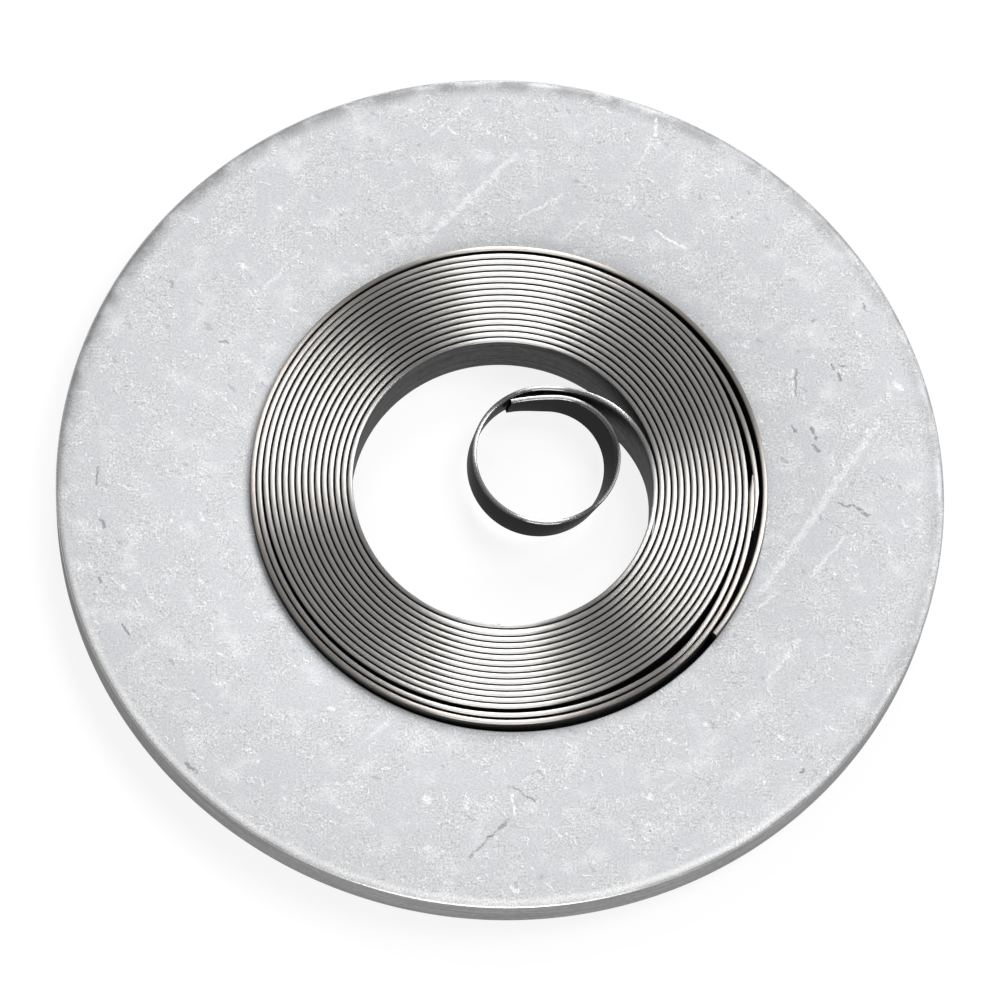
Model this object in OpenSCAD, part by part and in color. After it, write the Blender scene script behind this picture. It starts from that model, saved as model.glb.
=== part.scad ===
// Watch mainspring of the slipping kind, wound up in its flat shipping ring.
// Lengths are in millimetres, +Z is up and the spring's lower edge lies on z = 0.
// Seen from above, the strip winds clockwise from the arbor eye outward.

/* [Retaining ring] */
// Outside diameter of the stamped ring
ring_outer_diameter = 17.9; // [16.5:0.1:20]
// Diameter of the hole that holds the wound spring
ring_hole_diameter = 10.4; // [10.2:0.1:11.2]
// Middle of the hole, right of the ring's middle
hole_right = 0.15; // [0:0.01:0.2]
// Middle of the hole, in front of the ring's middle
hole_front = 0.09; // [0:0.01:0.2]
// Thickness of the ring, which sits at half the height of the strip
ring_thickness = 0.85; // [0.6:0.05:1.2]
// Width of the band along the upper rim that the punch drew down
rim_width = 0.2; // [0.1:0.02:0.3]
// How far that band falls to the side wall
rim_drop = 0.06; // [0.03:0.01:0.1]
// Break on the edges of the hole and on the lower rim
edge_break = 0.03; // [0.02:0.01:0.06]

/* [Spring strip] */
// Thickness of the mainspring strip
strip_thickness = 0.1; // [0.092:0.002:0.106]
// Height of the mainspring strip and of the bridle
strip_height = 1.25; // [1.15:0.05:1.5]
// Mean clear space between two wound turns
turn_gap = 0.03; // [0.024:0.002:0.034]
// Number of tightly wound turns
wound_turns = 14; // [10:1:14]
// How far each wound turn is set back from the one inside it
turn_rise = 0.002; // [0:0.002:0.008]
// Middle of the innermost turn, left of the hole's middle
coil_offset = 0.1; // [0.09:0.002:0.11]
// Middle of the innermost turn, in front of the hole's middle
coil_front = 0.04; // [0.03:0.001:0.05]

/* [Loose outer turn] */
// Space from the hole's wall to the middle of the strip where it leaves the coil, on the right
loose_start = 0.446; // [0.444:0.002:0.47]
// Space from the hole's wall to the middle of the strip at the front
loose_front = 0.28; // [0.27:0.005:0.3]
// Space from the hole's wall to the middle of the strip on the left
loose_left = 0.175; // [0.17:0.005:0.18]
// Space from the hole's wall to the middle of the strip at the back
loose_back = 0.22; // [0.21:0.005:0.225]
// Space from the hole's wall to the middle of the strip at the weld, on the right
loose_weld = 0.226; // [0.22:0.002:0.23]
// Foremost place of the loose turn, left of the hole's middle
front_offset = 0.1; // [0.08:0.01:0.12]
// Place of the weld, in front of the hole's middle
weld_front = 0.15; // [0.1:0.01:0.16]
// Swell of the loose turn at the front right
front_swell = 2.4; // [1:0.1:2.6]
// Sweep of the lap in front of the weld, in degrees
lap_sweep = 9; // [6:1:12]

/* [Slipping bridle] */
// Thickness of the bridle
bridle_thickness = 0.1; // [0.092:0.002:0.106]
// Space from the hole's wall to the middle of the bridle at the front
bridle_front = 0.13; // [0.11:0.005:0.14]
// Swell of the bridle at the front right, and of the loose turn behind the weld
bridle_swell = 0.8; // [0.6:0.1:1]
// Sweep of the bridle's fixed end behind the weld, in degrees
bridle_start = 4.3; // [2:0.1:5]
// How far the bridle's free end runs past the right of the hole, in degrees
bridle_end = 38; // [30:1:40]

/* [Arbor eye] */
// Bending radius of the strip between the coil and the eye
lead_radius = 2.24; // [2.1:0.02:2.3]
// Bending radius of the eye
eye_radius = 1.48; // [1.36:0.02:1.52]
// How much tighter the strip bends where it tucks in behind itself
tuck_step = 0.2; // [0.18:0.02:0.34]
// Bending radius of the strip's inner end
end_radius = 4; // [3.4:0.1:4]
// Sweep of the strip's inner end, in degrees
end_sweep = 13; // [8:1:13]
// Height of the narrowed strip in the eye
eye_height = 0.7; // [0.5:0.05:0.9]
// Length of full height before the strip narrows, measured to the left
taper_start = 0.15; // [0.1:0.05:0.4]

/* [Hidden] */

ring_metal = [0.83, 0.84, 0.85];
spring_steel = [0.55, 0.54, 0.53];
bridle_steel = [0.47, 0.46, 0.45];
arc_steps = 40;
rim_steps = 5;

// All bends share a 0.2 micrometre grid, so neighbouring arcs meet exactly.
function fine(x) = round(x * 5000) / 5000;
function turned(v, a) = [v[0] * cos(a) - v[1] * sin(a), v[0] * sin(a) + v[1] * cos(a)];

ring_radius = fine(ring_outer_diameter / 2);
hole_radius = fine(ring_hole_diameter / 2);
hole_middle = [hole_right, -hole_front, 0];
ring_base = (strip_height - ring_thickness) / 2;
half_strip = fine(strip_thickness / 2);
half_bridle = fine(bridle_thickness / 2);

// The band along the rim is a shallow arc that runs level into the face.
rim_bend = (rim_width * rim_width + rim_drop * rim_drop) / (2 * rim_drop);
rim_sweep = asin(rim_width / rim_bend);

// The wound turns are half circles that grow at the front and at the back.
half_pitch = fine((strip_thickness + turn_gap) / 2);
lean = fine(turn_rise / 2);
front_step = half_pitch + lean;
pitch = 2 * half_pitch;
coil_x = -fine(coil_offset);
coil_y = -fine(coil_front);
coil_radius = hole_radius - fine(loose_start) - wound_turns * pitch - coil_x;

// The loose turn passes the front, the left and the back, and ends at the weld on the right.
leave_x = hole_radius - fine(loose_start);
leave_y = coil_y + 2 * lean * wound_turns;
front_x = -fine(front_offset);
front_y = -(hole_radius - fine(loose_front));
left_x = -(hole_radius - fine(loose_left));
back_y = hole_radius - fine(loose_back);
left_radius = front_x - left_x;
left_y = front_y + left_radius;
back_radius = back_y - left_y;
back_x = left_x + back_radius;
weld_x = hole_radius - fine(loose_weld);
weld_y = -fine(weld_front);

// The bridle starts inside the weld, swings out to the left and follows the hole's wall.
hug_radius = hole_radius - half_bridle;
inner_x = weld_x - half_strip - half_bridle;
sweep_radius = hole_radius - fine(bridle_front);
sweep_x = sweep_radius - hug_radius;

// Reach of the three swelled quarters, across and along, and the radius of their first arc.
front_across = leave_x - front_x;
front_along = leave_y - front_y;
front_first = (front_across + front_along) / 2 + 0.2 * fine(front_swell);
bridle_across = inner_x - sweep_x;
bridle_along = weld_y + sweep_radius;
bridle_first = (bridle_across + bridle_along) / 2 + 0.2 * fine(bridle_swell);
weld_across = back_y - weld_y;
weld_along = weld_x - back_x;
weld_last = bridle_first + half_bridle + half_strip;
weld_first = weld_last - 2.5 * (weld_across - weld_along);

// The eye hangs from the innermost turn by one quarter of larger radius.
lead = fine(lead_radius);
eye = fine(eye_radius);
tuck = fine(tuck_step);
end = fine(end_radius);
lead_x = coil_x + coil_radius - lead;
eye_y = coil_y + lead - eye;
eye_base = (strip_height - eye_height) / 2;

// A swelled quarter is bent in three arcs that join along the 4 : 3 and 3 : 4 directions.
shallow = atan(3 / 4);

// One arc of strip, from a heading through a sweep.
module bend(centre, radius, from, sweep, half, base = 0, height = strip_height) {
    translate([centre[0], centre[1], base])
        rotate_extrude(angle = sweep, start = from, $fn = arc_steps)
            translate([radius - half, 0])
                square([2 * half, height]);
}

// A quarter that runs clockwise from a heading, with its own reach across and along.
module swelled(start, from, across, along, first, half, more = 0) {
    middle = 7.5 * along - 2.5 * across - 4 * first;
    last = first + 2.5 * (across - along);
    centre_1 = start - first * turned([1, 0], from);
    centre_2 = centre_1 + (first - middle) * turned([0.8, -0.6], from);
    centre_3 = centre_2 + (middle - last) * turned([0.6, -0.8], from);
    bend(centre_1, first, from - shallow, shallow + more, half);
    bend(centre_2, middle, from - 90 + shallow, 90 - 2 * shallow, half);
    bend(centre_3, last, from - 90, shallow, half);
}

// Centre and radius of the right half of a wound turn, counted from the innermost.
function turn_centre(k) = [coil_x, coil_y + 2 * k * lean];
function turn_radius(k) = coil_radius + k * pitch;

// The coil, from the right of its innermost turn to the right of its outermost.
module wound_turns_coil() {
    bend(turn_centre(0), turn_radius(0), 270, 90, half_strip);
    for (k = [0 : wound_turns - 1]) {
        bend(turn_centre(k) + [0, front_step], turn_radius(k) + front_step, 90, 180, half_strip);
    }
    for (k = [1 : wound_turns - 1]) {
        bend(turn_centre(k), turn_radius(k), 270, 180, half_strip);
    }
    bend(turn_centre(wound_turns), turn_radius(wound_turns), 0, 90, half_strip);
}

// Loose turn with the lap that is welded to the outside of the bridle.
module loose_turn() {
    swelled([leave_x, leave_y], 0, front_across, front_along, front_first, half_strip);
    bend([front_x, left_y], left_radius, 180, 90, half_strip);
    bend([back_x, left_y], back_radius, 90, 90, half_strip);
    swelled([back_x, back_y], 90, weld_across, weld_along, weld_first, half_strip);
    bend([weld_x - weld_last, weld_y], weld_last, -lap_sweep, lap_sweep, half_strip);
}

// Space above the strip where it narrows from the coil to the eye.
module taper_space() {
    run = lead - taper_start;
    slope = eye_base / run;
    translate([0, coil_y + lead + 1, 0])
        rotate([90, 0, 0])
            linear_extrude(lead + 2)
                polygon([
                    [lead_x - 1, strip_height - eye_base - slope],
                    [lead_x + run + 1, strip_height + slope],
                    [lead_x + run + 1, strip_height + 1],
                    [lead_x - 1, strip_height + 1]
                ]);
}

// Quarter that narrows from the coil to the eye.
module lead_bend() {
    difference() {
        bend([lead_x, coil_y], lead, 0, 90, half_strip);
        taper_space();
        translate([0, 0, strip_height])
            mirror([0, 0, 1])
                taper_space();
    }
}

// Eye that hooks on the arbor, with the inner end tucked in behind the strip.
module arbor_eye() {
    bend([lead_x, eye_y], eye, 90, 270, half_strip, eye_base, eye_height);
    bend([lead_x + tuck, eye_y], eye - tuck, 0, 90, half_strip, eye_base, eye_height);
    bend(
        [lead_x + tuck, eye_y + eye - tuck - end], end,
        90, end_sweep, half_strip, eye_base, eye_height);
}

// Full disc of the ring, with the drawn band along its upper rim.
module ring_disc() {
    rim_x = ring_radius - rim_width;
    rim_z = ring_thickness - rim_bend;
    rotate_extrude($fn = 72)
        polygon(concat(
            [[0, ring_thickness], [0, 0], [ring_radius - edge_break, 0], [ring_radius, edge_break]],
            [for (i = [0 : rim_steps])
                let (a = rim_sweep * (1 - i / rim_steps))
                    [rim_x + rim_bend * sin(a), rim_z + rim_bend * cos(a)]]
        ));
}

// Space of the hole, with its broken edges.
module ring_hole() {
    rotate_extrude($fn = 72)
        polygon([
            [0, -1],
            [hole_radius + edge_break + 1, -1],
            [hole_radius, edge_break],
            [hole_radius, ring_thickness - edge_break],
            [hole_radius + edge_break + 1, ring_thickness + 1],
            [0, ring_thickness + 1]
        ]);
}

module retaining_ring() {
    color(ring_metal)
        translate([0, 0, ring_base])
            difference() {
                ring_disc();
                translate(hole_middle)
                    ring_hole();
            }
}

module mainspring() {
    color(spring_steel)
        translate(hole_middle)
            union() {
                arbor_eye();
                lead_bend();
                wound_turns_coil();
                loose_turn();
            }
}

module bridle() {
    color(bridle_steel)
        translate(hole_middle)
            union() {
                swelled(
                    [inner_x, weld_y], 0, bridle_across, bridle_along, bridle_first,
                    half_bridle, bridle_start);
                bend([sweep_x, 0], sweep_radius, 180, 90, half_bridle);
                bend([0, 0], hug_radius, -bridle_end, 180 + bridle_end, half_bridle);
            }
}

retaining_ring();
mainspring();
bridle();
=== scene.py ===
import math

import bmesh
import bpy
from mathutils import Matrix, Vector


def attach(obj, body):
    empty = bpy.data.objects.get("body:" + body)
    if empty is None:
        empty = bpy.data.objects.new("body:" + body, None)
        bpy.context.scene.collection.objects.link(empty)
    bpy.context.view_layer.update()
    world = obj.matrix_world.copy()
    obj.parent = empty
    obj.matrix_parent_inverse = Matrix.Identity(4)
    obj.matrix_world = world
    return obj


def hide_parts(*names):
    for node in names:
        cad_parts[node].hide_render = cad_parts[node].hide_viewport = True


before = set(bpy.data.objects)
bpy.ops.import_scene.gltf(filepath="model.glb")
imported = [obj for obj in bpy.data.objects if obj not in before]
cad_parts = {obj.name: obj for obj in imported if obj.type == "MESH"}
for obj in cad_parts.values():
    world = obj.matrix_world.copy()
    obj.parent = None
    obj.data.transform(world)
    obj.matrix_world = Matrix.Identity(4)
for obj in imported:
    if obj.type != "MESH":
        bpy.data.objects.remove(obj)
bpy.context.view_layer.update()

MM = 0.001
SCENE = bpy.context.scene
SCENE.view_settings.view_transform = "Standard"

# Sizes in millimetres, the same as in the CAD source.
RING_R, HOLE_R, RING_LOW, RING_HIGH = 8.9445, 5.2, 0.2, 1.05
RIM_WIDTH, RIM_DROP = 0.2, 0.06
HOLE = Vector((0.15, -0.09, 0))
STRIP, HEIGHT, GAP, TURNS, RISE = 0.1, 1.25, 0.03, 14, 0.002
COIL_X, COIL_Y = -0.1, -0.04
LOOSE_START, LOOSE_FRONT, LOOSE_LEFT, LOOSE_BACK, LOOSE_WELD = 0.446, 0.28, 0.175, 0.22, 0.226
FRONT_X, WELD_Y, FRONT_SWELL, LAP = -0.1, -0.15, 2.4, 9.0
BRIDLE, BRIDLE_FRONT, BRIDLE_SWELL, BRIDLE_START, BRIDLE_END = 0.1, 0.13, 0.8, 4.3, 38.0
LEAD, EYE, TUCK, END, END_SWEEP, EYE_HEIGHT, TAPER = 2.24, 1.46, 0.2, 4.0, 13.0, 0.7, 0.15

# Slack, finish and painted shade of this one spring, in millimetres and degrees.
EDGE, CORNER, RIM_ROUND = 0.03, 0.03, 0.028
EYE_LEAN, EYE_DRAW, EYE_TIP, TIP_RUN = 0.21, 0.07, 0.16, 0.9
# Where, and how wide, the painted shade on the right of the eye's loop lies.
EYE_SHADE_AT, EYE_SHADE_HALF = -12.0, 62.0
SPREAD_AT, SPREAD_HALF, COIL_SPREAD, LOOSE_SPREAD = 54.0, 44.0, 0.07, 0.03
INNER_GAP, INNER_AT, INNER_HALF, INNER_DARK = 0.035, 95.0, 60.0, 0.6
SHALLOW = math.degrees(math.atan(0.75))


# Paths: clockwise arcs (centre x, centre y, radius, from degrees, sweep degrees).

def swelled(x, y, start, across, along, first):
    ca, sa = math.cos(math.radians(start)), math.sin(math.radians(start))

    def turned(u, v):
        return Vector((u * ca - v * sa, u * sa + v * ca))

    middle = 7.5 * along - 2.5 * across - 4 * first
    last = first + 2.5 * (across - along)
    c1 = Vector((x, y)) - first * turned(1, 0)
    c2 = c1 + (first - middle) * turned(0.8, -0.6)
    c3 = c2 + (middle - last) * turned(0.6, -0.8)
    return [
        (c1.x, c1.y, first, start, SHALLOW),
        (c2.x, c2.y, middle, start - SHALLOW, 90 - 2 * SHALLOW),
        (c3.x, c3.y, last, start - 90 + SHALLOW, SHALLOW),
    ]


PITCH = STRIP + GAP
STEP = PITCH / 2 + RISE / 2
COIL_R = HOLE_R - LOOSE_START - TURNS * PITCH - COIL_X
LEAVE_X, LEAVE_Y = HOLE_R - LOOSE_START, COIL_Y + RISE * TURNS
FRONT_Y, LEFT_X, BACK_Y = LOOSE_FRONT - HOLE_R, LOOSE_LEFT - HOLE_R, HOLE_R - LOOSE_BACK
LEFT_R = FRONT_X - LEFT_X
LEFT_Y = FRONT_Y + LEFT_R
BACK_R = BACK_Y - LEFT_Y
BACK_X = LEFT_X + BACK_R
WELD_X = HOLE_R - LOOSE_WELD
HUG = HOLE_R - BRIDLE / 2
INNER_X = WELD_X - STRIP / 2 - BRIDLE / 2
SWEEP_R = HOLE_R - BRIDLE_FRONT
SWEEP_X = SWEEP_R - HUG
FRONT_FIRST = (LEAVE_X - FRONT_X + LEAVE_Y - FRONT_Y) / 2 + 0.2 * FRONT_SWELL
BRIDLE_FIRST = (INNER_X - SWEEP_X + WELD_Y + SWEEP_R) / 2 + 0.2 * BRIDLE_SWELL
WELD_LAST = BRIDLE_FIRST + BRIDLE / 2 + STRIP / 2
WELD_FIRST = WELD_LAST - 2.5 * (BACK_Y - WELD_Y - WELD_X + BACK_X)
LEAD_X = COIL_X + COIL_R - LEAD
EYE_Y = COIL_Y + LEAD - EYE

EYE_PATH = [
    (LEAD_X + TUCK, EYE_Y + EYE - TUCK - END, END, 90 + END_SWEEP, END_SWEEP),
    (LEAD_X + TUCK, EYE_Y, EYE - TUCK, 90, 90),
    (LEAD_X, EYE_Y, EYE, 0, 270),
]
LEAD_PATH = [(LEAD_X, COIL_Y, LEAD, 90, 90)]
COIL_PATH = [(COIL_X, COIL_Y, COIL_R, 0, 90)]
for k in range(TURNS):
    COIL_PATH.append((COIL_X, COIL_Y + k * RISE + STEP, COIL_R + k * PITCH + STEP, 270, 180))
    sweep = 180 if k < TURNS - 1 else 90
    COIL_PATH.append((COIL_X, COIL_Y + (k + 1) * RISE, COIL_R + (k + 1) * PITCH, 90, sweep))
LOOSE_PATH = swelled(LEAVE_X, LEAVE_Y, 0, LEAVE_X - FRONT_X, LEAVE_Y - FRONT_Y, FRONT_FIRST) + [
    (FRONT_X, LEFT_Y, LEFT_R, 270, 90),
    (BACK_X, LEFT_Y, BACK_R, 180, 90),
] + swelled(BACK_X, BACK_Y, 90, BACK_Y - WELD_Y, WELD_X - BACK_X, WELD_FIRST)
LAP_PATH = [(WELD_X - WELD_LAST, WELD_Y, WELD_LAST, 0, LAP)]
TIP_PATH = [(INNER_X - BRIDLE_FIRST, WELD_Y, BRIDLE_FIRST, BRIDLE_START, BRIDLE_START)]
BRIDLE_PATH = swelled(INNER_X, WELD_Y, 0, INNER_X - SWEEP_X, WELD_Y + SWEEP_R, BRIDLE_FIRST) + [
    (SWEEP_X, 0, SWEEP_R, 270, 90),
    (0, 0, HUG, 180, 180 + BRIDLE_END),
]


# Meshes.

def add_object(name, bm, node, materials):
    bmesh.ops.scale(bm, vec=(MM, MM, MM), verts=bm.verts)
    bmesh.ops.recalc_face_normals(bm, faces=bm.faces)
    mesh = bpy.data.meshes.new(name)
    bm.to_mesh(mesh)
    bm.free()
    obj = bpy.data.objects.new(name, mesh)
    SCENE.collection.objects.link(obj)
    for m in materials:
        mesh.materials.append(m)
    mesh.shade_smooth()
    mesh.set_sharp_from_angle(angle=math.radians(50))
    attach(obj, "root")
    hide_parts(node)


def section(bm, arc, thickness, low, high):
    """A rounded section of strip, standing on edge at the start of an arc."""
    cx, cy, r, start, _ = arc
    made = bmesh.ops.create_grid(bm, x_segments=1, y_segments=1, size=0.5)
    a = math.radians(start)
    place = Matrix((
        (math.cos(a) * thickness, 0, 0, cx + r * math.cos(a)),
        (math.sin(a) * thickness, 0, 0, cy + r * math.sin(a)),
        (0, high - low, 0, (low + high) / 2),
        (0, 0, 0, 1),
    ))
    bmesh.ops.transform(bm, matrix=place, verts=made["verts"])
    bmesh.ops.bevel(
        bm, geom=made["verts"], offset=EDGE, segments=4, profile=0.5, affect="VERTICES", material=-1)


def append_mesh(whole, bm):
    piece = bpy.data.meshes.new("piece")
    bm.to_mesh(piece)
    bm.free()
    whole.from_mesh(piece)
    bpy.data.meshes.remove(piece)


def sweep_strip(arcs, thickness, low, high, per_step, first=False, last=False):
    """One run of strip, bent along clockwise arcs, with its ends closed where asked."""
    whole = bmesh.new()
    for i, arc in enumerate(arcs):
        bm = bmesh.new()
        section(bm, arc, thickness, low, high)
        edges = list(bm.edges)
        if not (first and i == 0):
            bmesh.ops.delete(bm, geom=list(bm.faces), context="FACES_ONLY")
        cx, cy, _, _, turn = arc
        made = bmesh.ops.spin(
            bm, geom=edges, cent=(cx, cy, 0), axis=(0, 0, 1), dvec=(0, 0, 0), angle=-math.radians(turn),
            steps=max(2, round(turn / per_step)), use_merge=False, use_duplicate=False)
        if last and i == len(arcs) - 1:
            ends = [g for g in made["geom_last"] if isinstance(g, bmesh.types.BMEdge)]
            bmesh.ops.contextual_create(bm, geom=ends)
        across = bm.verts.layers.float_vector.new("across")
        for v in bm.verts:
            v[across] = Vector((v.co.x - cx, v.co.y - cy, 0)).normalized()
        append_mesh(whole, bm)
    return whole


def thin_out(bm, arc, face, tip_first):
    """Draws a strip's end out to a thin tip that lies against one of its faces."""
    cx, cy, _, start, turn = arc
    for v in bm.verts:
        x, y = v.co.x - cx, v.co.y - cy
        done = (math.radians(start) - math.atan2(y, x)) / math.radians(turn)
        done = min(1.0, max(0.0, 1 - done if tip_first else done))
        old = math.hypot(x, y)
        new = face + (old - face) * (1 - 0.8 * done)
        v.co.x, v.co.y = cx + x * new / old, cy + y * new / old


def join_runs(runs):
    whole = bmesh.new()
    for run in runs:
        append_mesh(whole, run)
    bmesh.ops.remove_doubles(whole, verts=whole.verts, dist=3e-4)
    whole.normal_update()
    for f in whole.faces:
        f.material_index = 0 if abs(f.normal.z) > 0.3 else 1
    bmesh.ops.translate(whole, vec=HOLE, verts=whole.verts)
    return whole


def eased(share):
    share = min(1.0, max(0.0, share))
    return share * share * (3 - 2 * share)


def spread_turns(bm, most):
    """The turns lie a little looser at the back right, most of all the outer ones."""
    for v in bm.verts:
        x, y = v.co.x - COIL_X, v.co.y - COIL_Y
        off = abs(math.degrees(math.atan2(y, x)) - SPREAD_AT) / SPREAD_HALF
        r = math.hypot(x, y)
        wider = 1 + most * eased(1 - off) * max(0.0, (r - COIL_R) / (TURNS * PITCH)) / r
        v.co.x, v.co.y = COIL_X + x * wider, COIL_Y + y * wider


def part_inner_turn(bm):
    """The innermost turn is darker, and stands off from the next one at the front."""
    dark = bm.verts.layers.float.new("eye")
    for v in bm.verts:
        x, y = v.co.x - COIL_X, v.co.y - COIL_Y
        r, wound = math.hypot(x, y), math.degrees(math.atan2(-y, x)) % 360
        if wound > 359.5 and r < COIL_R + PITCH / 2:
            wound = 0.0
        if abs(r - COIL_R - PITCH * wound / 360) < PITCH / 2:
            v[dark] = INNER_DARK * eased((360 - wound) / INNER_HALF)
            inner = 1 - INNER_GAP * eased(1 - abs(wound - INNER_AT) / INNER_HALF) / r
            v.co.x, v.co.y = COIL_X + x * inner, COIL_Y + y * inner


def build_mainspring(edge, side, eye_side):
    low, high = (HEIGHT - EYE_HEIGHT) / 2, (HEIGHT + EYE_HEIGHT) / 2
    eye = sweep_strip(EYE_PATH, STRIP, low, high, 2.5, True, True)
    dark = eye.verts.layers.float.new("eye")
    for v in eye.verts:
        x, y = v.co.x - LEAD_X, v.co.y - EYE_Y
        around = math.degrees(math.atan2(y, x))
        # Values above 1 paint shade on the right of the eye's loop, where a glint would fall.
        v[dark] = 1 + eased(1 - abs(around - EYE_SHADE_AT) / EYE_SHADE_HALF)
        tucked = y > 1 and math.hypot(x, y) < EYE - STRIP / 2
        if tucked and v.co.z < HEIGHT / 2:
            v.co.z += EYE_TIP * eased((TUCK - x) / TIP_RUN)
        v.co.x += EYE_LEAN * (v.co.z - HEIGHT / 2) + EYE_DRAW * (v.co.x - LEAD_X) * (v.co.z - high)
    lead = sweep_strip(LEAD_PATH, STRIP, low, high, 1.5, True, False)
    dark = lead.verts.layers.float.new("eye")
    for v in lead.verts:
        grow = (HEIGHT - EYE_HEIGHT) / 2 * eased((v.co.x - LEAD_X) / (LEAD - TAPER))
        v.co.z += grow if v.co.z > HEIGHT / 2 else -grow
        upright = eased(math.atan2(v.co.x - LEAD_X, v.co.y - COIL_Y) / (math.pi / 2))
        v[dark] = 1 - (1 - INNER_DARK) * upright
        v.co.x += EYE_LEAN * (1 - upright) * (v.co.z - HEIGHT / 2)
    coil = sweep_strip(COIL_PATH, STRIP, 0, HEIGHT, 2.0)
    part_inner_turn(coil)
    spread_turns(coil, COIL_SPREAD)
    loose = sweep_strip(LOOSE_PATH, STRIP, 0, HEIGHT, 1.5)
    spread_turns(loose, LOOSE_SPREAD)
    lap = sweep_strip(LAP_PATH, STRIP, 0, HEIGHT, 1.5, False, True)
    thin_out(lap, LAP_PATH[0], WELD_LAST - STRIP / 2, False)
    whole = join_runs([lead, coil, loose, lap])
    add_object("mainspring_coil", whole, "mainspring", [edge, side])
    add_object("mainspring_eye", join_runs([eye]), "mainspring", [edge, eye_side])


def build_bridle(edge, side):
    tip = sweep_strip(TIP_PATH, BRIDLE, 0, HEIGHT, 1.5, True, False)
    thin_out(tip, TIP_PATH[0], BRIDLE_FIRST + BRIDLE / 2, True)
    strip = sweep_strip(BRIDLE_PATH, BRIDLE, 0, HEIGHT, 1.5, False, True)
    add_object("bridle_strip", join_runs([tip, strip]), "bridle", [edge, side])


def build_ring(face, wall):
    bm = bmesh.new()
    bend = (RIM_WIDTH ** 2 + RIM_DROP ** 2) / (2 * RIM_DROP)
    made = bmesh.ops.create_vert(bm, co=(RING_R - RIM_WIDTH, 0, RING_HIGH))
    bmesh.ops.spin(
        bm, geom=made["vert"], cent=(RING_R - RIM_WIDTH, 0, RING_HIGH - bend), axis=(0, 1, 0), dvec=(0, 0, 0),
        angle=math.asin(RIM_WIDTH / bend), steps=6, use_merge=False, use_duplicate=False)
    top = max(bm.verts, key=lambda v: v.co.z)
    end = max(bm.verts, key=lambda v: v.co.x)
    for x, z in ((RING_R, RING_LOW), (HOLE_R, RING_LOW), (HOLE_R, RING_HIGH)):
        step = bmesh.ops.extrude_vert_indiv(bm, verts=[end])
        end = step["verts"][0]
        end.co = (x, 0, z)
    bmesh.ops.contextual_create(bm, geom=[end, top])
    bmesh.ops.contextual_create(bm, geom=list(bm.edges))
    corner = [v for v in bm.verts if v.co.x < 7 or v.co.z < 0.3]
    bmesh.ops.bevel(bm, geom=corner, offset=CORNER, segments=3, profile=0.5, affect="VERTICES", material=-1)
    rim = [v for v in bm.verts if abs(v.co.x - RING_R) < 1e-4 and v.co.z > 0.6]
    bmesh.ops.bevel(bm, geom=rim, offset=RIM_ROUND, segments=4, profile=0.5, affect="VERTICES", material=-1)
    edges = list(bm.edges)
    bmesh.ops.delete(bm, geom=list(bm.faces), context="FACES_ONLY")
    bmesh.ops.spin(
        bm, geom=edges, cent=(0, 0, 0), axis=(0, 0, 1), dvec=(0, 0, 0),
        angle=math.tau, steps=360, use_merge=True, use_duplicate=False)
    bmesh.ops.remove_doubles(bm, verts=bm.verts, dist=1e-5)
    hole = [v for v in bm.verts if math.hypot(v.co.x, v.co.y) < HOLE_R + 0.05]
    bmesh.ops.translate(bm, vec=HOLE, verts=hole)
    bm.normal_update()
    for f in bm.faces:
        f.material_index = 1 if abs(f.normal.z) < 0.4 else 0
    add_object("stamped_ring", bm, "retaining_ring", [face, wall])


# Materials.

class Nodes:
    """Adds and links shader nodes in one tree."""

    def __init__(self, tree):
        self.tree = tree

    def add(self, kind, inputs=None, **props):
        n = self.tree.nodes.new(kind)
        for key, value in props.items():
            setattr(n, key, value)
        for key, value in (inputs or {}).items():
            if isinstance(value, bpy.types.NodeSocket):
                self.tree.links.new(value, n.inputs[key])
            else:
                n.inputs[key].default_value = value
        return n

    def math(self, operation, a, b=0.0):
        return self.add("ShaderNodeMath", {0: a, 1: b}, operation=operation).outputs[0]

    def noise(self, vector, scale, detail, roughness=0.5):
        return self.add("ShaderNodeTexNoise", {
            "Vector": vector, "Scale": scale, "Detail": detail, "Roughness": roughness}).outputs["Fac"]

    def ramp(self, value, low, high, to_low=0.0, to_high=1.0):
        return self.add("ShaderNodeMapRange", {
            "Value": value, "From Min": low, "From Max": high, "To Min": to_low, "To Max": to_high,
        }, interpolation_type="SMOOTHSTEP").outputs["Result"]

    def mix(self, factor, a, b):
        return self.add("ShaderNodeMix", {0: factor, 6: a, 7: b}, data_type="RGBA").outputs[2]

    def scaled(self, vector, by):
        return self.add("ShaderNodeVectorMath", {0: vector, "Scale": by}, operation="SCALE").outputs["Vector"]

    def along(self, vector, way):
        return self.add("ShaderNodeVectorMath", {0: vector, 1: way}, operation="DOT_PRODUCT").outputs["Value"]

    def stretch(self, vector, turn, scale):
        """Turns a place about Z, then stretches it."""
        turned = self.add("ShaderNodeVectorRotate", {
            "Vector": vector, "Angle": math.radians(turn)}, rotation_type="Z_AXIS").outputs["Vector"]
        return self.add("ShaderNodeVectorMath", {0: turned, 1: scale}, operation="MULTIPLY").outputs["Vector"]

    def millimetres(self):
        return self.scaled(self.add("ShaderNodeTexCoord").outputs["Object"], 1 / MM)


def new_group(name, inputs, outputs):
    group = bpy.data.node_groups.new(name, "ShaderNodeTree")
    for label, kind, value in inputs:
        socket = group.interface.new_socket(name=label, in_out="INPUT", socket_type=kind)
        socket.default_value = value
    for label, kind in outputs:
        group.interface.new_socket(name=label, in_out="OUTPUT", socket_type=kind)
    n = Nodes(group)
    return group, n, n.add("NodeGroupInput"), n.add("NodeGroupOutput")


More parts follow.
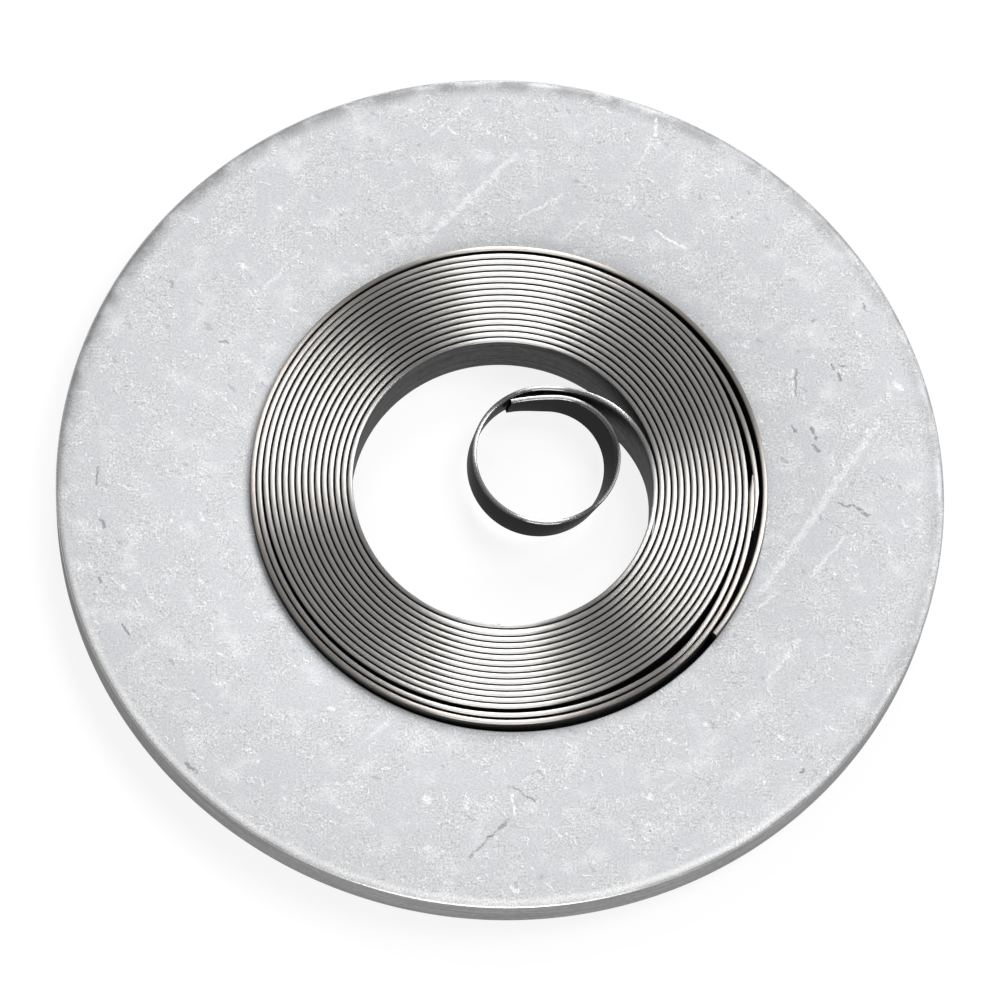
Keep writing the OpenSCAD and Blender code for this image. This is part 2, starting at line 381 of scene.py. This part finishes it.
def mark_group():
    """Mask of one straight mark between two places on the ring's face."""
    group, n, given, out = new_group(
        "straight_mark",
        [("Place", "NodeSocketVector", (0, 0, 0)), ("From", "NodeSocketVector", (0, 0, 0)),
         ("To", "NodeSocketVector", (1, 0, 0)), ("Width", "NodeSocketFloat", 0.03)],
        [("Mask", "NodeSocketFloat")])

    def vector(operation, a, b):
        return n.add("ShaderNodeVectorMath", {0: a, 1: b}, operation=operation)

    run = vector("SUBTRACT", given.outputs["To"], given.outputs["From"]).outputs["Vector"]
    rel = vector("SUBTRACT", given.outputs["Place"], given.outputs["From"]).outputs["Vector"]
    share = n.math("DIVIDE", vector("DOT_PRODUCT", rel, run).outputs["Value"],
                   vector("DOT_PRODUCT", run, run).outputs["Value"])
    share = n.add("ShaderNodeClamp", {0: share}).outputs[0]
    near = n.scaled(run, share)
    gap = vector("DISTANCE", rel, near).outputs["Value"]
    ratio = n.math("DIVIDE", gap, given.outputs["Width"])
    n.tree.links.new(n.ramp(ratio, 0.3, 1.0, 1.0, 0.0), out.inputs["Mask"])
    return group


# Scratches and nicks that stand out: from x and y, to x and y, half width.
BRIGHT_MARKS = [
    (3.24, 7.7, 3.29, 8.05, 0.05), (3.2, 5.57, 3.81, 5.18, 0.05), (0.16, -6.62, 0.2, -6.95, 0.05),
    (5.94, 2.55, 5.92, 1.95, 0.025),
]
SOFT_STREAKS = [
    (7.65, 1.39, 5.21, -2.26, 0.11), (6.91, -1.09, 6.20, -1.95, 0.06), (0.38, 7.26, -1.46, 5.34, 0.1),
    (1.31, 6.35, 0.36, 5.76, 0.05), (1.81, 5.85, 1.30, 5.35, 0.045), (-0.62, 8.31, -1.37, 7.66, 0.045),
    (3.22, 7.66, 2.86, 7.05, 0.04), (5.47, -2.30, 5.10, -2.65, 0.035), (5.94, -3.32, 5.22, -4.17, 0.06),
    (-4.05, 5.04, -4.82, 4.14, 0.05),
]
DARK_MARKS = [
    (6.28, 1.24, 6.36, 1.02, 0.05), (6.33, 0.86, 6.42, 0.74, 0.05), (-8.11, 0.25, -8.12, -0.09, 0.04),
    (-8.06, -0.83, -7.96, -1.07, 0.05), (-7.58, -3.12, -7.45, -3.31, 0.045), (6.79, -0.38, 7.09, -0.44, 0.03),
    (7.09, -0.44, 7.39, -0.63, 0.04),
    (5.93, -6.03, 5.87, -6.13, 0.05), (5.88, 1.3, 5.97, 1.19, 0.045), (6.87, 2.43, 6.89, 2.32, 0.05),
    (7.03, 2.6, 6.95, 2.62, 0.04), (7.42, 3.95, 7.46, 3.86, 0.04), (6.72, 2.64, 6.78, 2.52, 0.04),
    (-6.67, 4.32, -6.67, 4.23, 0.045), (6.42, 3.63, 6.36, 3.57, 0.045), (-5.66, 3.02, -5.55, 3.02, 0.04),
    (-8.09, -2.14, -8.03, -2.2, 0.04), (0.1, -6.42, 0.62, -6.77, 0.03), (0.05, -7.15, -0.3, -7.5, 0.045),
    (-0.3, -7.5, -0.72, -7.92, 0.035), (6.0, 2.51, 5.98, 1.96, 0.03), (-6.3, -6.02, -6.08, -6.2, 0.06),
]


def ring_face_group():
    """Mottled sheet with cloudy wear, fine grain, scratches and nicks; small dents with painted highlights
    and shade, painted shade along the back of the rim, painted light along its front and a painted highlight
    at its outer edge.
    """
    group, n, _, out = new_group("stamped_sheet", [], [
        ("Color", "NodeSocketColor"), ("Roughness", "NodeSocketFloat"), ("Metallic", "NodeSocketFloat"),
        ("Height", "NodeSocketFloat")])

    def shifted(vector, by):
        return n.add("ShaderNodeVectorMath", {0: vector, 1: (by, by, 0)}, operation="ADD").outputs["Vector"]

    def weigh(value, share):
        return n.math("MULTIPLY", value, share)

    flat = n.stretch(n.millimetres(), 0, (1, 1, 0))
    cloud = n.noise(flat, 1.2, 4, 0.6)
    patch = n.ramp(cloud, 0.44, 0.56)
    tone = n.mix(patch, (0.6, 0.611, 0.631, 1), (0.63, 0.635, 0.647, 1))
    pale = n.ramp(n.noise(shifted(flat, 17.0), 1.6, 5, 0.62), 0.48, 0.72)
    tone = n.mix(weigh(pale, 0.6), tone, (0.8, 0.81, 0.82, 1))
    crumbs = n.noise(flat, 8.0, 4, 0.7)
    tone = n.mix(weigh(n.ramp(crumbs, 0.54, 0.72), weigh(patch, 0.75)), tone, (0.95, 0.95, 0.95, 1))
    pits = n.noise(shifted(flat, 7.3), 9.0, 4, 0.7)
    tone = n.mix(weigh(n.ramp(pits, 0.46, 0.28), weigh(patch, 0.75)), tone, (0.36, 0.36, 0.37, 1))
    # Twin wavy lines paint small dents: the white one is a painted highlight, and the dark one, shifted a
    # little, is painted shade.
    for by, colour, share in ((0.0, (0.96, 0.96, 0.96, 1), 0.75), (0.025, (0.4, 0.4, 0.41, 1), 0.4)):
        fold = n.math("ABSOLUTE", n.math("SUBTRACT", n.noise(shifted(flat, by), 2.6, 3), 0.5))
        dent_light_and_shade = weigh(n.ramp(fold, 0.022, 0.004), n.ramp(n.noise(shifted(flat, 3.1), 3.5, 2), 0.54, 0.64))
        tone = n.mix(weigh(dent_light_and_shade, share), tone, colour)
    streaks = n.ramp(n.noise(n.stretch(flat, -38, (0.35, 4.0, 1)), 1.0, 3, 0.6), 0.56, 0.74)
    where = n.ramp(n.noise(shifted(flat, 31.0), 0.5, 2), 0.5, 0.66)
    tone = n.mix(weigh(weigh(streaks, where), 0.4), tone, (0.9, 0.9, 0.9, 1))
    for by, colour, share in ((41.0, (0.93, 0.93, 0.93, 1), 0.7), (53.0, (0.4, 0.4, 0.41, 1), 0.6)):
        specks = n.ramp(n.noise(n.stretch(shifted(flat, by), 40, (1.0, 1.7, 1)), 2.4, 4, 0.6), 0.63, 0.7)
        tone = n.mix(weigh(specks, share), tone, colour)
    radius = n.add("ShaderNodeVectorMath", {0: flat}, operation="LENGTH").outputs["Value"]
    # A darker band along the back of the rim is painted shade, where the rolled rim turns away from the
    # lamps; noise makes it patchy.
    aside = n.along(flat, (-0.06, 0.095, 0))
    ahead = n.along(flat, (-0.04, -0.1, 0))
    rim_shade_patches = n.ramp(n.noise(flat, 1.6, 4), 0.36, 0.6, 0.3, 1.0)
    side = weigh(n.ramp(aside, -0.4, 0.9, 0.45, 0.95), n.ramp(ahead, 0.6, 0.0))
    rim_shade = weigh(n.ramp(radius, 8.5, 8.86), side)
    tone = n.mix(weigh(rim_shade, rim_shade_patches), tone, (0.3, 0.3, 0.31, 1))
    # A lighter band along the front of the rim is painted light, set against the rim's own shading.
    rim_light = weigh(n.ramp(radius, 8.72, 8.86), n.ramp(ahead, 0.2, 0.75))
    tone = n.mix(weigh(rim_light, 0.9), tone, (0.97, 0.97, 0.97, 1))
    mark = mark_group()
    wander = n.add("ShaderNodeTexNoise", {"Vector": flat, "Scale": 5.0, "Detail": 3.0}).outputs["Color"]
    wander = n.add("ShaderNodeVectorMath", {0: wander, 1: (0.5, 0.5, 0.5)}, operation="SUBTRACT").outputs[0]
    bent = n.add("ShaderNodeVectorMath", {0: flat, 1: n.scaled(wander, 0.2)}).outputs[0]
    bent = n.stretch(bent, 0, (1, 1, 0))
    height = weigh(crumbs, 0.5)
    kinds = (
        (SOFT_STREAKS, (0.88, 0.885, 0.89, 1), 0.55, 0.0),
        (BRIGHT_MARKS, (0.97, 0.97, 0.97, 1), 0.8, 0.6),
        (DARK_MARKS, (0.24, 0.24, 0.25, 1), 0.75, 0.6),
    )
    for marks, colour, strength, depth in kinds:
        for x0, y0, x1, y1, width in marks:
            mask = n.add("ShaderNodeGroup", node_tree=mark)
            n.tree.links.new(bent, mask.inputs["Place"])
            mask.inputs["From"].default_value = (x0, y0, 0)
            mask.inputs["To"].default_value = (x1, y1, 0)
            mask.inputs["Width"].default_value = width
            mask = mask.outputs["Mask"]
            tone = n.mix(weigh(weigh(mask, n.ramp(crumbs, 0.34, 0.54)), strength), tone, colour)
            if depth:
                height = n.math("SUBTRACT", height, weigh(mask, depth))
    drawn = n.ramp(radius, 8.78, 8.9)
    # The whitened ring at the very outer edge is a painted highlight; with the band above, it also makes the
    # edge smoother and more metallic.
    rim_glint = n.ramp(radius, 8.885, 8.915)
    tone = n.mix(weigh(rim_glint, 0.85), tone, (0.95, 0.95, 0.95, 1))
    grain = n.ramp(n.noise(flat, 25.0, 1), 0.25, 0.75, -0.2, 0.2)
    grain = n.math("ADD", weigh(grain, n.ramp(patch, 0, 1, 0.6, 1.0)), 1.0)
    n.tree.links.new(n.scaled(tone, grain), out.inputs["Color"])
    shine = n.math("ADD", drawn, rim_glint)
    rough = n.math("SUBTRACT", n.ramp(patch, 0, 1, 0.52, 0.62), weigh(shine, 0.12))
    n.tree.links.new(rough, out.inputs["Roughness"])
    n.tree.links.new(n.math("ADD", weigh(shine, 0.35), 0.15), out.inputs["Metallic"])
    n.tree.links.new(height, out.inputs["Height"])
    return group


def drawn_group(name, dark, light):
    """Fine lines along the strip or along the sheared edge, at constant height."""
    group, n, _, out = new_group(name, [], [("Color", "NodeSocketColor"), ("Height", "NodeSocketFloat")])
    place = n.millimetres()
    lines = n.noise(n.stretch(place, 0, (0.5, 0.5, 16.0)), 1.0, 4, 0.6)
    grain = n.noise(place, 9.0, 2)
    both = n.math("ADD", n.math("MULTIPLY", lines, 0.7), n.math("MULTIPLY", grain, 0.3))
    n.tree.links.new(n.mix(n.ramp(both, 0.35, 0.65), dark, light), out.inputs["Color"])
    n.tree.links.new(both, out.inputs["Height"])
    return group


def material(name, colour=None, group=None, metallic=0.0, roughness=0.5, bump=0.0, grazing=1.0):
    m = bpy.data.materials.new(name)
    m.use_nodes = True
    n = Nodes(m.node_tree)
    p = m.node_tree.nodes["Principled BSDF"]
    p.inputs["Metallic"].default_value = metallic
    p.inputs["Roughness"].default_value = roughness
    p.inputs["Specular Tint"].default_value = (grazing, grazing, grazing, 1)
    if colour:
        p.inputs["Base Color"].default_value = (*colour, 1)
    if group:
        g = n.add("ShaderNodeGroup", node_tree=group)
        for label in ("Color", "Roughness", "Metallic"):
            if label in g.outputs:
                n.tree.links.new(g.outputs[label], p.inputs["Base Color" if label == "Color" else label])
        if bump:
            b = n.add("ShaderNodeBump", {
                "Strength": bump, "Distance": 0.02 * MM, "Height": g.outputs["Height"]})
            n.tree.links.new(b.outputs["Normal"], p.inputs["Normal"])
    return m


def edge_material(name, colour, eye_colour=None):
    """Bright rolled edge whose polish runs along the strip, darker towards the eye, with painted shade on the
    eye's right side.
    """
    m = material(name, colour, metallic=1.0, roughness=0.337)
    n = Nodes(m.node_tree)
    p = m.node_tree.nodes["Principled BSDF"]
    p.inputs["Anisotropic"].default_value = 1.0
    across = n.add("ShaderNodeAttribute", attribute_name="across").outputs["Vector"]
    across = n.add(
        "ShaderNodeVectorTransform", {"Vector": across},
        vector_type="VECTOR", convert_from="OBJECT", convert_to="WORLD")
    n.tree.links.new(across.outputs["Vector"], p.inputs["Tangent"])
    if eye_colour:
        eye = n.add("ShaderNodeAttribute", attribute_name="eye").outputs["Fac"]
        shade = n.mix(eye, (*colour, 1), (*eye_colour, 1))
        # Attribute values from 1 to 2 darken towards near black: painted shade over a glint on the eye's
        # right.
        shade = n.mix(n.ramp(eye, 1.0, 2.0), shade, (0.1, 0.1, 0.1, 1))
        n.tree.links.new(shade, p.inputs["Base Color"])
        n.tree.links.new(n.ramp(eye, 0.6, 1.0, 0.337, 0.22), p.inputs["Roughness"])
    return m


ring_face = material("ring_face", group=ring_face_group(), bump=0.5)
# The wall's drawn lines are the sheared edge's own, and its tone, darker than the face, is painted shade.
ring_wall = material(
    "ring_wall", group=drawn_group("sheared_edge", (0.36, 0.36, 0.365, 1), (0.56, 0.56, 0.56, 1)),
    metallic=0.2, roughness=0.55, bump=0.2)
# The strip's sides take a far darker colour than its edges. Their fine lines are the strip's own, and their
# dark tone is painted shade between the turns. The eye's sides are darker still: painted shade down in the
# coil's pit.
rolled = drawn_group("rolled_strip", (0.1, 0.1, 0.102, 1), (0.2, 0.2, 0.202, 1))
strip_edge = edge_material("strip_edge", (0.6, 0.583, 0.565), (0.45, 0.45, 0.45))
strip_side = material("strip_side", group=rolled, metallic=1.0, roughness=0.4, grazing=0.6)
eye_side = material("eye_side", (0.045, 0.045, 0.047), metallic=1.0, roughness=0.35, grazing=0.6)
bridle_edge = edge_material("bridle_edge", (0.52, 0.485, 0.45))

build_ring(ring_face, ring_wall)
build_mainspring(strip_edge, strip_side, eye_side)
build_bridle(bridle_edge, strip_side)


# Floor, light and camera.

LAMP_DISTANCE = 0.5
IMAGE_SIZE = 1001


def build_stage():
    bm = bmesh.new()
    bmesh.ops.create_grid(bm, x_segments=1, y_segments=1, size=3)
    mesh = bpy.data.meshes.new("floor")
    bm.to_mesh(mesh)
    bm.free()
    floor = bpy.data.objects.new("floor", mesh)
    SCENE.collection.objects.link(floor)
    m = bpy.data.materials.new("floor")
    m.use_nodes = True
    n = Nodes(m.node_tree)
    n.tree.nodes.clear()
    diffuse = n.add("ShaderNodeBsdfDiffuse", {"Color": (0.18, 0.18, 0.18, 1)})
    path = n.add("ShaderNodeLightPath").outputs
    mirrored = n.math("MULTIPLY", n.math("MAXIMUM", path["Is Glossy Ray"], path["Is Transmission Ray"]), 0.5)
    seen = n.math("MAXIMUM", path["Is Camera Ray"], mirrored)
    middle = HOLE + Vector((COIL_X, COIL_Y, 0))
    radius = n.add("ShaderNodeVectorMath", {0: n.millimetres(), 1: middle}, operation="DISTANCE")
    radius = radius.outputs["Value"]
    # Under the coil and ring the glow is taken away, leaving painted shadow beneath the parts.
    shadow_under_parts = n.math("MULTIPLY", n.ramp(radius, COIL_R + 0.08, COIL_R + 0.16), n.ramp(radius, 8.7, 8.5))
    glow = n.math("MULTIPLY", n.math("SUBTRACT", 1.0, shadow_under_parts), 0.85)
    glow = n.add("ShaderNodeEmission", {"Color": (1, 1, 1, 1), "Strength": n.math("MULTIPLY", seen, glow)})
    both = n.add("ShaderNodeAddShader", {0: diffuse.outputs[0], 1: glow.outputs[0]})
    n.add("ShaderNodeOutputMaterial", {"Surface": both.outputs[0]})
    mesh.materials.append(m)


def build_world():
    world = bpy.data.worlds.new("studio")
    SCENE.world = world
    world.use_nodes = True
    world.node_tree.nodes["Background"].inputs["Color"].default_value = (1, 1, 1, 1)
    world.node_tree.nodes["Background"].inputs["Strength"].default_value = 0.18


def softbox(name, azimuth, elevation, width, height, level):
    """A soft lamp aimed at the object; level is the brightness of its face."""
    lamp = bpy.data.lights.new(name, "AREA")
    lamp.shape = "RECTANGLE"
    lamp.size, lamp.size_y = width, height
    lamp.energy = level * 4 * width * height
    obj = bpy.data.objects.new(name, lamp)
    a, e = math.radians(azimuth), math.radians(elevation)
    back = Vector((math.cos(a) * math.cos(e), math.sin(a) * math.cos(e), math.sin(e)))
    obj.location = back * LAMP_DISTANCE
    obj.rotation_mode = "QUATERNION"
    obj.rotation_quaternion = back.to_track_quat("Z", "Y")
    SCENE.collection.objects.link(obj)


def build_camera():
    data = bpy.data.cameras.new("camera")
    data.sensor_width = 36
    distance, scale = 130.7, 49.433
    data.lens = scale * distance / IMAGE_SIZE * data.sensor_width
    data.clip_start, data.clip_end = 0.002, 10
    data.shift_x, data.shift_y = 1.023 / IMAGE_SIZE, -2.344 / IMAGE_SIZE
    lean, e = math.radians(7.912), math.radians(68.545)
    right = Vector((math.cos(lean), -math.sin(lean), 0))
    ahead = Vector((math.sin(lean), math.cos(lean), 0))
    back = -math.cos(e) * ahead + Vector((0, 0, math.sin(e)))
    up = math.sin(e) * ahead + Vector((0, 0, math.cos(e)))
    turned_right = math.cos(lean) * right + math.sin(lean) * up
    turned_up = -math.sin(lean) * right + math.cos(lean) * up
    cam = bpy.data.objects.new("camera", data)
    m = Matrix((turned_right, turned_up, back)).transposed().to_4x4()
    m.translation = (Vector((0, 0, RING_LOW)) + back * distance) * MM
    cam.matrix_world = m
    SCENE.collection.objects.link(cam)
    SCENE.camera = cam


build_stage()
build_world()
softbox("back_softbox", 84, 38, 0.13, 0.25, 8.5)
softbox("right_softbox", 28, 56, 0.16, 0.25, 7.5)
softbox("back_fill", 63, 48, 0.175, 0.25, 0.6)
softbox("front_fill", 270, 28, 0.3, 0.3, 3.0)
build_camera()
